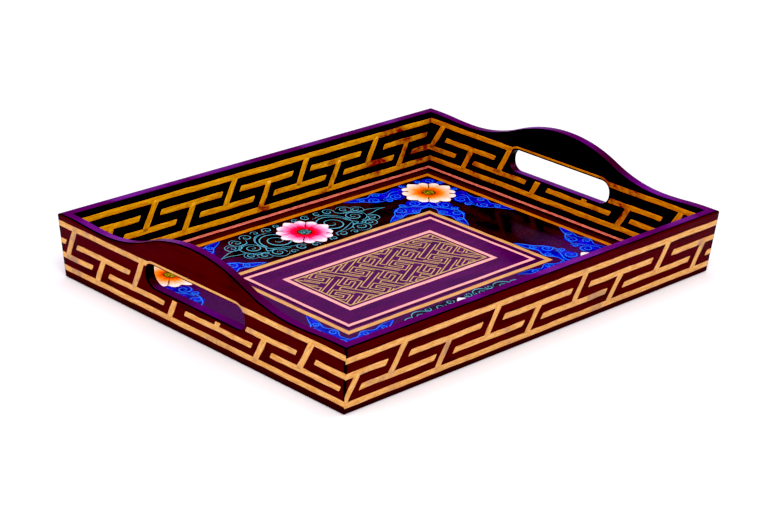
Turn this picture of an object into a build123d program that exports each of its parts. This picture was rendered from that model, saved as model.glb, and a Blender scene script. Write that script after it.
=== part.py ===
from build123d import *
from math import cos, radians, tan
import os

# A lacquered wooden serving tray, in millimetres. Four boards lean outwards and meet in mitres, a thin
# panel sits in a rabbet under them, and each short board rises in the middle and has a hand slot.
# X runs along the long sides, Z is up, and the origin is the middle of the tray's underside.

# Overall sizes, taken round the outside of the rim.
RIM_LENGTH = 450.0
RIM_WIDTH = 353.0
WALL_HEIGHT = 58.0  # from the surface the tray stands on to the rim of the long sides
FLARE = 4.5  # degrees that every wall leans outwards

# The boards.
BOARD = 10.0  # thickness, square to the faces
RIM_EASE = 1.6  # rounding of the two top edges
FOOT_EASE = 1.8  # rounding of the bottom outer edge

# The outline of a short board's top, from its middle outwards: a crest, a dip, then a level shoulder.
CREST_RISE = 23.5  # above the rim
DIP_DEPTH = 1.75  # below the rim
DIP_OUT = 118.0  # from the middle of the board
SHOULDER = 12.0  # level stretch at each corner

# The hand slots, cut square through the short boards.
SLOT_LENGTH = 122.0
SLOT_HEIGHT = 21.5
SLOT_CORNER = 10.0
SLOT_DROP = 7.0  # from the rim down to the slot's upper edge
SLOT_EASE = 1.3

# The base panel and the rabbet that it sits in.
FLOOR_HEIGHT = 5.3  # the panel's upper face above the standing surface
PANEL = 4.0
RABBET = 6.0  # how far the rabbet reaches under the boards at their foot
PANEL_GAP = 0.25  # all round the panel's edge

# Pins that go up through the panel's edge into the boards.
PIN_SHANK = 1.2
PIN_HEAD = 2.4
PIN_HEAD_THICKNESS = 0.8
PIN_LENGTH = 14.0
PINS_PER_LONG_SIDE = 5
PINS_PER_SHORT_SIDE = 4
PIN_END_MARGIN = 45.0  # from the panel's corner to the first pin

# Headless brads through the corner mitres, set below the surface and filled over.
BRAD = 1.4
BRAD_LENGTH = 30.0
BRAD_SET = 1.2
BRAD_FROM_RIM = 15.0  # the upper brad below the rim
BRAD_OVER_FLOOR = 14.0  # the lower brad above the panel's upper face
HOLE_GAP = 0.02  # radial clearance of every pin and brad in its hole

# Helper bodies reach this far past what they cut, and an edge this near a line lies on it.
PAST = 30.0
NEAR = 0.02

LEAN = tan(radians(FLARE))
LEVEL_BOARD = BOARD / cos(radians(FLARE))  # thickness measured level
RABBET_WALL = WALL_HEIGHT * LEAN + LEVEL_BOARD - RABBET  # from the rim's outside in to the rabbet's side
PANEL_UNDERSIDE = FLOOR_HEIGHT - PANEL
PIN_LINE = WALL_HEIGHT * LEAN + LEVEL_BOARD - RABBET / 2  # from the rim's outside in to the pins


def outside_at(height):
    """How far the outer face lies inside the rim's outside at a height."""
    return (WALL_HEIGHT - height) * LEAN


def leaning_slab(reach, half_run, top):
    """The board's two faces, as a slab along X whose outer face points to -Y."""
    foot = -reach + outside_at(0)
    head = -reach + outside_at(top)
    section = Plane.YZ * Polygon(
        (foot, 0), (head, top), (head + LEVEL_BOARD, top), (foot + LEVEL_BOARD, 0), align=None
    )
    return extrude(section, half_run + PAST, both=True)


def rim_outline(half_run, crested):
    """The board's face outline in XZ, from its foot to its top, wider than the board by PAST."""
    end = half_run + PAST
    if not crested:
        return Plane.XZ * (Pos(0, WALL_HEIGHT / 2) * Rectangle(2 * end, WALL_HEIGHT))
    crest = (0, WALL_HEIGHT + CREST_RISE)
    dip = (DIP_OUT, WALL_HEIGHT - DIP_DEPTH)
    shoulder = (half_run - SHOULDER, WALL_HEIGHT)
    half = [crest, dip, shoulder]
    curves = []
    for inner, outer in zip(half, half[1:]):
        curves += ogee(inner, outer)
    curves += [Line(shoulder, (end, WALL_HEIGHT)), Line((end, WALL_HEIGHT), (end, 0))]
    curves += [Line((end, 0), (0, 0)), Line((0, 0), crest)]
    right = make_face(curves)
    return Plane.XZ * (right + mirror(right, Plane.YZ))


def ogee(start, end):
    """Two equal tangent arcs that leave start level and arrive level at end."""
    middle = ((start[0] + end[0]) / 2, (start[1] + end[1]) / 2)
    return [
        TangentArc(start, middle, tangent=(1, 0)),
        TangentArc(end, middle, tangent=(-1, 0)),
    ]


def slot_cutter(reach):
    """The hand slot, square to the leaning board, with its middle half-way through the board."""
    middle_height = WALL_HEIGHT - SLOT_DROP - SLOT_HEIGHT / 2
    middle = -reach + outside_at(middle_height) + LEVEL_BOARD / 2
    across = Plane(
        origin=(0, middle, middle_height),
        x_dir=(1, 0, 0),
        z_dir=(0, -cos(radians(FLARE)), -LEAN * cos(radians(FLARE))),
    )
    return extrude(across * RectangleRounded(SLOT_LENGTH, SLOT_HEIGHT, SLOT_CORNER), PAST, both=True)


def rim_edges(board, half_run):
    """The two long edges of the board's top, without its rough ends."""
    return [
        edge
        for edge in board.edges()
        if abs(edge.center().X) < half_run + PAST / 2
        and edge.center().Z > WALL_HEIGHT / 2
        and abs(edge.tangent_at(0.5).X) > 0.5
    ]


def foot_edges(board, reach):
    """The bottom outer edge."""
    foot_line = -reach + outside_at(0)
    return [
        edge
        for edge in board.edges()
        if abs(edge.center().Z) < NEAR and abs(edge.center().Y - foot_line) < NEAR
    ]


def slot_edges(board):
    """The edges round the slot's two mouths."""
    upper = WALL_HEIGHT - SLOT_DROP + SLOT_EASE
    lower = WALL_HEIGHT - SLOT_DROP - SLOT_HEIGHT - SLOT_EASE
    return [
        edge
        for edge in board.edges()
        if abs(edge.center().X) < SLOT_LENGTH / 2 + SLOT_EASE
        and lower < edge.center().Z < upper
        and abs(edge.tangent_at(0.5).Y) < 0.5
    ]


def wall_board(reach, run, crested):
    """One wall with its outer face to -Y: reach is the rim's distance from the middle of the tray, and
    run is the rim's length along the wall."""
    half_run = run / 2
    top = WALL_HEIGHT + (CREST_RISE if crested else 0)
    outline = extrude(rim_outline(half_run, crested), reach + PAST, both=True)
    board = leaning_slab(reach, half_run, top) & outline
    board = fillet(rim_edges(board, half_run), RIM_EASE)
    board = fillet(foot_edges(board, reach), FOOT_EASE)
    if crested:
        board -= slot_cutter(reach)
        board = fillet(slot_edges(board), SLOT_EASE)
    board -= rabbet_cutter(reach, half_run)
    return board & mitred_plan(reach, half_run, top)


def rabbet_cutter(reach, half_run):
    """The step that the panel sits in, open downwards and towards the middle of the tray."""
    inner = LEVEL_BOARD + PAST
    return Pos(0, -reach + RABBET_WALL, 0) * Box(
        2 * (half_run + PAST), inner, 2 * FLOOR_HEIGHT, align=(Align.CENTER, Align.MIN, Align.CENTER)
    )


def mitred_plan(reach, half_run, top):
    """The board's plan, cut at 45 degrees at both ends, as a tall prism."""
    inwards = LEVEL_BOARD + PAST
    plan = Polygon(
        (-half_run - PAST, -reach - PAST),
        (half_run + PAST, -reach - PAST),
        (half_run - inwards, -reach + inwards),
        (-half_run + inwards, -reach + inwards),
        align=None,
    )
    return extrude(Pos(0, 0, -PAST) * plan, top + 2 * PAST)


def turned(quarter_turns, solids):
    """Solids made on the -Y side, turned about Z to another side."""
    return [Rot(0, 0, 90 * quarter_turns) * solid for solid in solids]


def pin_places(run, count):
    """Even places along a side of the panel."""
    half = run / 2 - RABBET_WALL - PIN_END_MARGIN
    return [half * (2 * i / (count - 1) - 1) for i in range(count)]


def panel_pin(radius_gap):
    """A pin from the panel's underside upwards, its flat head let in flush."""
    head = Cylinder(
        PIN_HEAD / 2 + radius_gap, PIN_HEAD_THICKNESS, align=(Align.CENTER, Align.CENTER, Align.MIN)
    )
    shank = Cylinder(
        PIN_SHANK / 2 + radius_gap, PIN_LENGTH, align=(Align.CENTER, Align.CENTER, Align.MIN)
    )
    return Pos(0, 0, PANEL_UNDERSIDE) * (head + shank)


def pins_along(reach, run, count, radius_gap):
    """The row of pins under the -Y wall."""
    return [Pos(x, -reach + PIN_LINE, 0) * panel_pin(radius_gap) for x in pin_places(run, count)]


def corner_brads(side_x, side_y, radius_gap):
    """Two brads along X at one corner, from the short board into the long board's end."""
    brads = []
    for height in (WALL_HEIGHT - BRAD_FROM_RIM, FLOOR_HEIGHT + BRAD_OVER_FLOOR):
        y = RIM_WIDTH / 2 - outside_at(height) - LEVEL_BOARD / 2
        x = RIM_LENGTH / 2 - outside_at(height) - BRAD_SET - BRAD_LENGTH / 2
        lying = Rot(0, 90, 0) * Cylinder(BRAD / 2 + radius_gap, BRAD_LENGTH)
        brads.append(Pos(side_x * x, side_y * y, height) * lying)
    return brads


CORNERS = {
    "front_left": (-1, -1),
    "front_right": (1, -1),
    "back_left": (-1, 1),
    "back_right": (1, 1),
}

# Each wall: quarter turns from the -Y side, its reach, its run, whether it is crested, and its pins.
WALLS = {
    "front_long_side": (0, RIM_WIDTH / 2, RIM_LENGTH, False, PINS_PER_LONG_SIDE),
    "right_handle_end": (1, RIM_LENGTH / 2, RIM_WIDTH, True, PINS_PER_SHORT_SIDE),
    "back_long_side": (2, RIM_WIDTH / 2, RIM_LENGTH, False, PINS_PER_LONG_SIDE),
    "left_handle_end": (3, RIM_LENGTH / 2, RIM_WIDTH, True, PINS_PER_SHORT_SIDE),
}

PIN_NODES = {
    "front_long_side": "front_panel_pins",
    "right_handle_end": "right_panel_pins",
    "back_long_side": "back_panel_pins",
    "left_handle_end": "left_panel_pins",
}


def base_panel():
    """The thin flat panel, with a small gap round its edge, before the pin holes."""
    inset = 2 * (RABBET_WALL + PANEL_GAP)
    plate = Box(RIM_LENGTH - inset, RIM_WIDTH - inset, PANEL, align=(Align.CENTER, Align.CENTER, Align.MIN))
    return Pos(0, 0, PANEL_UNDERSIDE) * plate


def main():
    nodes = {}
    panel = base_panel()
    all_brad_holes = [
        hole for side_x, side_y in CORNERS.values() for hole in corner_brads(side_x, side_y, HOLE_GAP)
    ]
    for name, (turns, reach, run, crested, pins) in WALLS.items():
        board = turned(turns, [wall_board(reach, run, crested)])[0]
        holes = turned(turns, pins_along(reach, run, pins, HOLE_GAP))
        for hole in holes + all_brad_holes:
            board -= hole
        for hole in holes:
            panel -= hole
        nodes[name] = board
        nodes[PIN_NODES[name]] = Compound(turned(turns, pins_along(reach, run, pins, 0)))
    nodes["base_panel"] = panel
    for corner, (side_x, side_y) in CORNERS.items():
        nodes[f"{corner}_brads"] = Compound(corner_brads(side_x, side_y, 0))

    os.makedirs("parts", exist_ok=True)
    for name, shape in nodes.items():
        solids = shape.solids()
        export_step(solids[0] if len(solids) == 1 else Compound(solids), f"parts/{name}.step")


main()
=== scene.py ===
from math import cos, pi, radians, sin, tan

import bpy
import numpy as np
from mathutils import Matrix, Vector


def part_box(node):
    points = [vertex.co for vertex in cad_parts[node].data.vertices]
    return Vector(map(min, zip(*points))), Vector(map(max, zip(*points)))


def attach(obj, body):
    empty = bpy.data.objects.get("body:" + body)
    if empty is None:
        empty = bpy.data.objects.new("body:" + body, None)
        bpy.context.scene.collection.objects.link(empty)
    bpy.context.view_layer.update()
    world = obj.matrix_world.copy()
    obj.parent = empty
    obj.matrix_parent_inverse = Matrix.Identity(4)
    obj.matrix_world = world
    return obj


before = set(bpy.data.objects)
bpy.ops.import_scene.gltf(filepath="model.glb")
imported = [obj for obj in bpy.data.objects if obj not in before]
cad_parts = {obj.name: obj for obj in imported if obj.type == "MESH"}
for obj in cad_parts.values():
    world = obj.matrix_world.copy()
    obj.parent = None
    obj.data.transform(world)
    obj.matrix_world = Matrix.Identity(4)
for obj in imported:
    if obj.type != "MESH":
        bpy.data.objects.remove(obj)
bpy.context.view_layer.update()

# The tray's decoration is worked out in millimetres and put into meshes in metres. The boards lean out
# by FLARE, and LEVEL_BOARD is their thickness measured level. RIM_EASE is the rounding of the rim. The
# slot's values are the CAD's: its size, its corners' radius, how far its top edge is below the rim, and
# the rounding of its edges.
MM = 0.001
FLARE = radians(4.5)
BOARD = 10.0
LEVEL_BOARD = BOARD / cos(FLARE)
RIM_EASE = 1.6
SLOT_LENGTH = 122.0
SLOT_HEIGHT = 21.5
SLOT_CORNER = 10.0
SLOT_DROP = 7.0
SLOT_EASE = 1.3

# Heights of the floor and the rim, the outer faces' distance from the middle at the rim's height, and
# the inner faces' at the floor's.
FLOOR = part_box("base_panel")[1][2] / MM
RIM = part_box("front_long_side")[1][2] / MM
REACH_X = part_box("front_long_side")[1][0] / MM + tan(FLARE) * RIM_EASE
REACH_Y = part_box("back_long_side")[1][1] / MM + tan(FLARE) * RIM_EASE
INNER_X = REACH_X - (RIM - FLOOR) * tan(FLARE) - LEVEL_BOARD
INNER_Y = REACH_Y - (RIM - FLOOR) * tan(FLARE) - LEVEL_BOARD

hand = np.random.default_rng(1872)


# ---------------------------------------------------------------- brush strokes as surfaces

# A stroke's section: places across it from -1 to 1, and its height there as a share of its lift.
ACROSS = np.array([-1, -0.92, -0.55, 0, 0.55, 0.92, 1])
CROWN = np.array([-0.6, 0.7, 0.95, 1, 0.95, 0.7, -0.6])


def waver(along, size, wave):
    """A slow unevenness of the hand: three sines of random phase whose waves are about wave long."""
    phases = hand.uniform(0, 2 * pi, 3)
    waves = wave * np.array([1.0, 0.57, 0.31])
    shares = np.array([0.6, 0.3, 0.2])
    return size * (np.sin(2 * pi * along[:, None] / waves + phases) * shares).sum(axis=1)


def stations(length, step, corner):
    """Distances along a straight stroke: even steps in the middle, closer ones round its ends."""
    near = corner * np.array([0, 0.12, 0.45, 1.0])
    middle = np.linspace(corner, length - corner, max(2, int(length / step)))[1:-1]
    return np.concatenate([near, middle, length - near[::-1]])


def rounded(along, half_width, corner):
    """Half width of a stroke whose corners are rounded: a quarter circle of radius corner at each end."""
    from_end = np.minimum(along, along[-1] - along)
    left = np.clip(corner - from_end, 0, corner)
    return half_width - corner + np.sqrt(np.clip(corner**2 - left**2, 0, None))


def brush_marks(along):
    """Brush coordinates of a stroke: the way along it, the place across it, and the stroke's number."""
    return np.stack(np.broadcast_arrays(along[:, None], ACROSS[None, :], hand.uniform(0, 100)), axis=-1)


def turned_over(made):
    """The same stroke with its places across it in the other order, so that its faces look the other way."""
    flat, lift, brush = made
    return flat[:, ::-1], lift[:, ::-1], brush[:, ::-1]


def stroke(path, half_width, lift):
    """A crowned ribbon along a flat path: each row of points is the path's point plus its left normal
    times ACROSS and the half width, and the row rises by CROWN times its film of paint."""
    path = np.asarray(path, float)
    step = np.gradient(path, axis=0)
    step /= np.linalg.norm(step, axis=1, keepdims=True)
    left = np.stack([-step[:, 1], step[:, 0]], axis=1)
    across = ACROSS[None, :] * np.broadcast_to(half_width, len(path))[:, None]
    flat = path[:, None, :] + left[:, None, :] * across[..., None]
    run = np.concatenate([[0], np.cumsum(np.linalg.norm(np.diff(path, axis=0), axis=1))])
    film = lift * hand.uniform(0.85, 1.15)
    return flat, film * np.broadcast_to(CROWN, across.shape), brush_marks(run)


def smooth(points, count):
    """A smooth path through a few points: a Catmull-Rom curve sampled evenly in its parameter."""
    knots = np.asarray(points, float)
    knots = np.concatenate([[2 * knots[0] - knots[1]], knots, [2 * knots[-1] - knots[-2]]])
    place = np.linspace(0, len(points) - 1 - 1e-9, count)
    k = place.astype(int)
    t = (place - k)[:, None]
    a, b, c, d = knots[k], knots[k + 1], knots[k + 2], knots[k + 3]
    return 0.5 * (2 * b + (c - a) * t + (2 * a - 5 * b + 4 * c - d) * t**2 + (3 * b - a - 3 * c + d) * t**3)


def spiral(x, y, radius, turns, start, way):
    """A curl: the radius shrinks evenly from its full size to a tenth while the angle turns."""
    t = np.linspace(0, 1, int(16 * turns) + 4)
    angle = start + way * 2 * pi * turns * t
    reach = radius * (1 - 0.9 * t)
    return np.stack([x + reach * np.cos(angle), y + reach * np.sin(angle)], axis=1)


def mesh_piece(name, verts, faces, brush, material):
    """A mesh object in metres with its brush coordinates, riding on the tray."""
    mesh = bpy.data.meshes.new(name)
    mesh.from_pydata(verts * MM, [], faces)
    attribute = mesh.attributes.new("brush", "FLOAT_VECTOR", "POINT")
    attribute.data.foreach_set("vector", brush.astype(np.float32).ravel())
    mesh.polygons.foreach_set("use_smooth", np.ones(len(mesh.polygons), bool))
    mesh.materials.append(material)
    mesh.update()
    piece = bpy.data.objects.new(name, mesh)
    bpy.context.scene.collection.objects.link(piece)
    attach(piece, "root")
    return piece


def closed_grid(first, rows, columns, ring):
    """Faces of a grid of points, numbered from first, whose columns close round the back: each point
    joins the next in its row and the same two in the next row. Each end has a face of its own, or the
    last row joins the first when it is a ring."""
    index = first + np.arange(rows * columns).reshape(rows, columns)
    beside = np.roll(index, -1, axis=1)
    if ring:
        below = np.roll(index, -1, axis=0)
        quads = np.stack([index, below, np.roll(beside, -1, axis=0), beside], axis=-1).reshape(-1, 4)
        return quads.tolist()
    quads = np.stack([index[:-1], index[1:], beside[1:], beside[:-1]], axis=-1).reshape(-1, 4)
    return quads.tolist() + [index[0].tolist(), index[-1, ::-1].tolist()]


def strokes_piece(name, strokes, material, ring=False):
    """Many strokes as one mesh. Each comes as (place, (flat, lift, brush)): place puts flat points and
    their lift on a face of the tray."""
    verts, faces, brushes, first = [], [], [], 0
    for place, (flat, lift, brush) in strokes:
        verts.append(place(flat[..., 0], flat[..., 1], lift).reshape(-1, 3))
        brushes.append(np.asarray(brush, float).reshape(-1, 3))
        faces += closed_grid(first, *lift.shape, ring)
        first += lift.size
    return mesh_piece(name, np.concatenate(verts), faces, np.concatenate(brushes), material)


# ---------------------------------------------------------------- faces of the tray


def wall_face(turns, inner):
    """place(u, up, lift) for one wall's face and half its length at the rim: u runs to the right and up
    runs up its slope from the rim as someone facing it sees them, and lift is square to it."""
    reach, half_run = (REACH_Y, REACH_X) if turns % 2 == 0 else (REACH_X, REACH_Y)
    side = -1 if inner else 1
    inset = LEVEL_BOARD if inner else 0
    c, s = round(cos(turns * pi / 2)), round(sin(turns * pi / 2))

    def place(u, up, lift):
        x = side * u
        y = -(reach + up * sin(FLARE)) + inset - side * lift * cos(FLARE)
        z = RIM + up * cos(FLARE) - side * lift * sin(FLARE)
        return np.stack([c * x - s * y, s * x + c * y, z], axis=-1)

    return place, half_run - inset


def on_floor(x, y, lift):
    """Puts points on the floor's top face, with lift straight up from it."""
    return np.stack([x, y, FLOOR + lift], axis=-1)


# ---------------------------------------------------------------- the fret round the walls

# How far a stroke's ends and the stems lean, the paint's lift off the wall, and the rounding of its corners.
STROKE_LEAN = tan(radians(27))
FILM = 0.16
CORNER = 0.9
# The least height of the line over a slot, how far it keeps from the slot's rounded edge, and how far
# the bars keep from the slot's ends and foot.
THINNEST_LINE = 2.2
LINE_GAP = 0.15
SLOT_END_GAP = 0.3
SLOT_FOOT_GAP = 0.2

# How each face's fret is laid out, measured along the rim from its left corner and down from the rim:
# the levels of its top line, upper bars, lower bars and bottom line, half the width of its bars and
# of its stems, then each T that hangs and each T that stands, as its stem and its bar's two ends.
FRETS = {
    "outer_long": dict(
        levels=(11.0, 24.8, 38.0, 50.0),
        half_bar=2.75,
        half_stem=3.2,
        hanging=((57.5, 19, 100), (163.5, 121, 202), (269, 224, 305), (376.5, 327, 416), (480, 440, 520)),
        standing=((9, -40, 46), (109, 70, 151), (213.5, 176, 259), (315.5, 281, 363), (427.5, 390, 470)),
    ),
    "outer_end": dict(
        levels=(8.2, 24.0, 36.8, 48.6),
        half_bar=2.65,
        half_stem=2.9,
        hanging=((16.5, -40, 44), (105.5, 66, 138), (209, 164, 245), (307.5, 267, 345)),
        standing=((-37, -80, 9), (54.5, 24, 95), (149, 110, 190), (254.5, 200, 297), (350.5, 318, 400)),
    ),
    "inner_long": dict(
        levels=(8.3, 21.0, 34.0, 45.8),
        half_bar=2.8,
        half_stem=3.3,
        hanging=(
            (-9, -50, 28),
            (81, 50, 109),
            (172.5, 136, 200),
            (260.5, 224, 289),
            (349.5, 312, 378),
            (440, 402, 480),
        ),
        standing=((33, 10, 69), (123.5, 92, 163), (213, 184, 248), (300.5, 270, 335), (390.5, 365, 424)),
    ),
    "inner_end": dict(
        levels=(7.8, 22.0, 34.3, 44.7),
        half_bar=2.65,
        half_stem=3.0,
        hanging=((12, -40, 38), (99.5, 61, 129), (205, 155, 232), (304, 255, 340)),
        standing=((53, 23, 88), (142, 108, 170), (246.5, 190, 290), (345, 312, 390)),
    ),
}


def edge_at(half_run, up):
    """The corner's place along a face: walls get shorter down their slope."""
    return half_run + up * sin(FLARE)


def long_line(half_run, below, half):
    """A line from corner to corner whose ends follow the corners."""
    run = np.linspace(-1, 1, 90)
    level = -below + waver(run * half_run, 0.22, 70)
    widths = half * (1 + waver(run * half_run, 0.05, 40))
    flat, lift, brush = stroke(np.stack([run * half_run, level], axis=1), widths, FILM)
    flat[..., 0] = run[:, None] * edge_at(half_run, flat[..., 1])
    return flat, lift, brush


def slot_edge(u):
    """How far below the rim the flat face ends over the hand slot, with the slot's round corners."""
    radius = SLOT_CORNER + SLOT_EASE
    past = np.clip(np.abs(u) - (SLOT_LENGTH / 2 - SLOT_CORNER), 0, None)
    arc = SLOT_DROP + SLOT_CORNER - np.sqrt(np.clip(radius**2 - past**2, 0, None))
    return np.where(past < radius, arc, np.inf)


def line_over_slot(half_run, below, half, tilt):
    """The top line of a handle end: it thins over the slot, where little of the board is left. tilt is
    how much lower this face's end of the slot is than its middle."""
    run = np.linspace(-1, 1, 180)
    u = run * half_run
    waves = waver(u, 0.2, 70)
    low = np.minimum(below + half + waves, slot_edge(u) + tilt - LINE_GAP)
    high = np.minimum(below - half + waves, low - THINNEST_LINE)
    flat, lift, brush = stroke(np.stack([u, -(low + high) / 2], axis=1), (low - high) / 2, FILM)
    flat[..., 1] = -(low + high)[:, None] / 2 + ACROSS[None, :] * (low - high)[:, None] / 2
    flat[..., 0] = run[:, None] * edge_at(half_run, flat[..., 1])
    return flat, lift, brush


def bar(left, right, below, half, half_run):
    """A level bar with leaning ends, or an end that follows the corner where the bar reaches it, and is
    as wide there as past its four rounded rows."""
    limit = edge_at(half_run, -below)
    if left >= limit or right <= -limit or right - left < 2 * half:
        return []
    start, end = max(left, -limit), min(right, limit)
    along = stations(end - start, 7.0, CORNER)
    widths = rounded(along, half, CORNER) + waver(along, 0.2, 26)
    if start > left:
        widths[:4] = widths[4]
    if end < right:
        widths[-4:] = widths[-5]
    path = np.stack([start + along, -below + waver(along, 0.3, 60)], axis=1)
    flat, lift, brush = stroke(path, widths, FILM)
    share = along[:, None] / along[-1]
    first = -edge_at(half_run, flat[..., 1]) if start > left else start + STROKE_LEAN * (flat[..., 1] + below)
    last = edge_at(half_run, flat[..., 1]) if end < right else end + STROKE_LEAN * (flat[..., 1] + below)
    flat[..., 0] = first + share * (last - first)
    return [(flat, lift, brush)]


def stem(middle, mid_down, top, bottom, half, half_run):
    """A leaning stem between two heights below the rim; it passes middle at the height mid_down, and
    no part of it passes the corner."""
    down = np.linspace(top, bottom, 8)
    slope = STROKE_LEAN + hand.uniform(-0.08, 0.08)
    centre = middle - slope * (down - mid_down) + waver(down, 0.25, 30)
    widths = half * (1 + waver(down, 0.08, 25))
    flat, lift, brush = stroke(np.stack([centre, -down], axis=1), widths, FILM)
    flat[..., 1] = -down[:, None]
    flat[..., 0] = centre[:, None] + ACROSS[None, :] * widths[:, None] * np.hypot(1, slope)
    limit = edge_at(half_run, -down)[:, None]
    ranks = 0.05 * np.arange(len(ACROSS))
    flat[..., 0] = np.clip(flat[..., 0], -limit + ranks, limit - ranks[::-1])
    return flat, lift, brush


def fret(kind, half_run):
    """The whole fret of one face: two long lines, T shapes that hang and T shapes that stand."""
    shape = FRETS[kind]
    top, upper, lower, bottom = shape["levels"]
    thick, thin = shape["half_stem"], shape["half_bar"]
    slotted = kind.endswith("end")
    tilt = BOARD / 2 * sin(FLARE) * (1 if kind.startswith("outer") else -1)
    slot_end = SLOT_LENGTH / 2 + SLOT_EASE + SLOT_END_GAP
    slot_foot = SLOT_DROP + SLOT_HEIGHT + SLOT_EASE + tilt + SLOT_FOOT_GAP
    strokes = [long_line(half_run, bottom, thin)]
    strokes.append(line_over_slot(half_run, top, thin, tilt) if slotted else long_line(half_run, top, thin))

    def bar_clear_of_slot(left, right, below):
        if slotted and below < slot_foot and left < slot_end and right > -slot_end:
            return bar(left, -slot_end, below, thin, half_run) + bar(slot_end, right, below, thin, half_run)
        return bar(left, right, below, thin, half_run)

    for tees, bar_level, start, end in (
        (shape["hanging"], lower, top, lower),
        (shape["standing"], upper, upper, bottom),
    ):
        for middle, left, right in tees:
            middle, left, right = np.array([middle, left, right]) - half_run
            strokes += bar_clear_of_slot(left, right, bar_level)
            if abs(middle) < edge_at(half_run, -end):
                under_slot = slotted and abs(middle) < slot_end
                head = slot_foot if under_slot else start
                strokes.append(stem(middle, (start + end) / 2, head, end, thick, half_run))
    return strokes


def turned_strokes(strokes):
    """Stems run down the face, so their rows are turned to face outwards like the rest."""
    out = []
    for made in strokes:
        flat = made[0]
        along = flat[1, 3] - flat[0, 3]
        over = flat[0, -1] - flat[0, 0]
        outwards = along[0] * over[1] - along[1] * over[0] > 0
        out.append(made if outwards else turned_over(made))
    return out


# ---------------------------------------------------------------- lines round the floor

FLOOR_FILM = 0.12

# Half sizes of each painted frame on the floor, to its outside, and its width.
SALMON_WIDTH = 5.2
OUTER_GOLD = (194.0, 147.0, 5.4)
INNER_GOLD = (124.6, 76.3, 5.2)
OUTER_PINK = (114.0, 65.2, 3.6)
INNER_PINK = (89.9, 42.0, 4.3)
THIN_GOLD = (83.2, 35.3, 1.5)
DARK_LINE = (116.3, 68.2, 1.2)


def painted_frame(half_x, half_y, width, shake=0.2):
    """A closed line round a rectangle with mitred corners: every row runs from corner to corner, moved
    out or in by its place across the line."""
    corners = np.array([(1, -1), (1, 1), (-1, 1), (-1, -1)], float)
    share = np.linspace(0, 1, 60, endpoint=False)[:, None]
    signs = np.concatenate([a + (b - a) * share for a, b in zip(corners, np.roll(corners, -1, axis=0))])
    along = np.concatenate([share[:, 0] + k for k in range(4)]) * (half_x + half_y)
    wide = width / 2 * (1 + waver(along, 0.05, 60))
    drift = waver(along, shake, 90)
    over = wide[:, None] * -ACROSS[None, :] + drift[:, None]
    at_corner = np.abs(np.abs(signs).min(axis=1) - 1) < 1e-9
    over[at_corner] = -ACROSS[None, :] * width / 2
    middle = np.array([half_x, half_y]) - width / 2
    flat = signs[:, None, :] * (middle + over[..., None])
    return flat, FLOOR_FILM * np.broadcast_to(CROWN, over.shape), brush_marks(along)


# ---------------------------------------------------------------- the lattice in the middle panel

# The lattice's turn against the tray, the side of its squares and one node's place; then the gap within
# a pair of bars, their length and their half width; then how many squares it runs each way from that
# node, before it is cut off, the shortest piece that is kept and the rounding of its corners.
LATTICE_TILT = radians(28)
LATTICE_STEP = 27.2
LATTICE_ORIGIN = np.array([-8.4, 6.7])
LATTICE_PAIR = 5.4
LATTICE_BAR = 35.0
LATTICE_HALF = 0.6
LATTICE_CELLS = 5
SHORTEST_BAR = 1.2
BAR_CORNER = 0.5

# The key between four pairs of bars, in steps of KEY from its middle: two square hooks that interlock,
# joined through the middle by an S.
KEY = 4.15
KEY_LINE = [(-2.6, -2), (2, -2), (2, 1), (-1, 1), (-1, 0), (1, 0), (1, -1), (-2, -1), (-2, 2), (2.6, 2)]


def lattice_lines():
    """Pairs of long bars on a square grid, upright and level by turns, with a key in each square."""
    lines = []
    x, y = LATTICE_PAIR / 2, LATTICE_BAR / 2
    pair = np.array([(-x, -y), (-x, y), (x, y), (x, -y)])
    cells = range(-LATTICE_CELLS, LATTICE_CELLS + 1)
    for i in cells:
        for j in cells:
            upright = (i + j) % 2 == 0
            turn = np.array([[1, 0], [0, 1]]) if upright else np.array([[0, -1], [1, 0]])
            node = np.array([i, j]) * LATTICE_STEP
            lines.append(node + pair @ turn.T)
            lines.append(node + LATTICE_STEP / 2 + np.array(KEY_LINE) * KEY @ turn.T)
    c, s = cos(LATTICE_TILT), sin(LATTICE_TILT)
    return [LATTICE_ORIGIN + line @ np.array([[c, s], [-s, c]]) for line in lines]


def clipped(start, end, half_x, half_y):
    """The part of a straight line inside the panel, or None: each side of the panel in turn moves where
    the line enters or where it leaves."""
    step = end - start
    enter, leave = 0.0, 1.0
    for slope, room in (
        (-step[0], start[0] + half_x),
        (step[0], half_x - start[0]),
        (-step[1], start[1] + half_y),
        (step[1], half_y - start[1]),
    ):
        if abs(slope) < 1e-9:
            if room < 0:
                return None
            continue
        at = room / slope
        if slope < 0:
            enter = max(enter, at)
        else:
            leave = min(leave, at)
    if leave - enter < 1e-3:
        return None
    return start + enter * step, start + leave * step


def lattice_strokes():
    """The lattice's straight lines, cut off at the thin gold frame, each a little longer than its ends so
    that the corners fill."""
    half_x, half_y, width = THIN_GOLD
    strokes = []
    for line in lattice_lines():
        for start, end in zip(line, line[1:]):
            kept = clipped(start, end, half_x - width / 2, half_y - width / 2)
            if kept is None:
                continue
            a, b = kept
            length = np.linalg.norm(b - a)
            if length < SHORTEST_BAR:
                continue
            way = (b - a) / length
            a, b = a - way * LATTICE_HALF * 0.8, b + way * LATTICE_HALF * 0.8
            length = np.linalg.norm(b - a)
            along = stations(length, 6.0, BAR_CORNER)
            path = a + way * along[:, None]
            path[:, 1] += waver(along, 0.12, 20)
            widths = rounded(along, LATTICE_HALF, BAR_CORNER)
            strokes.append((on_floor, stroke(path, widths, FLOOR_FILM)))
    return strokes


# ---------------------------------------------------------------- flowers

FLOWER_REACH = 28.0
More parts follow.
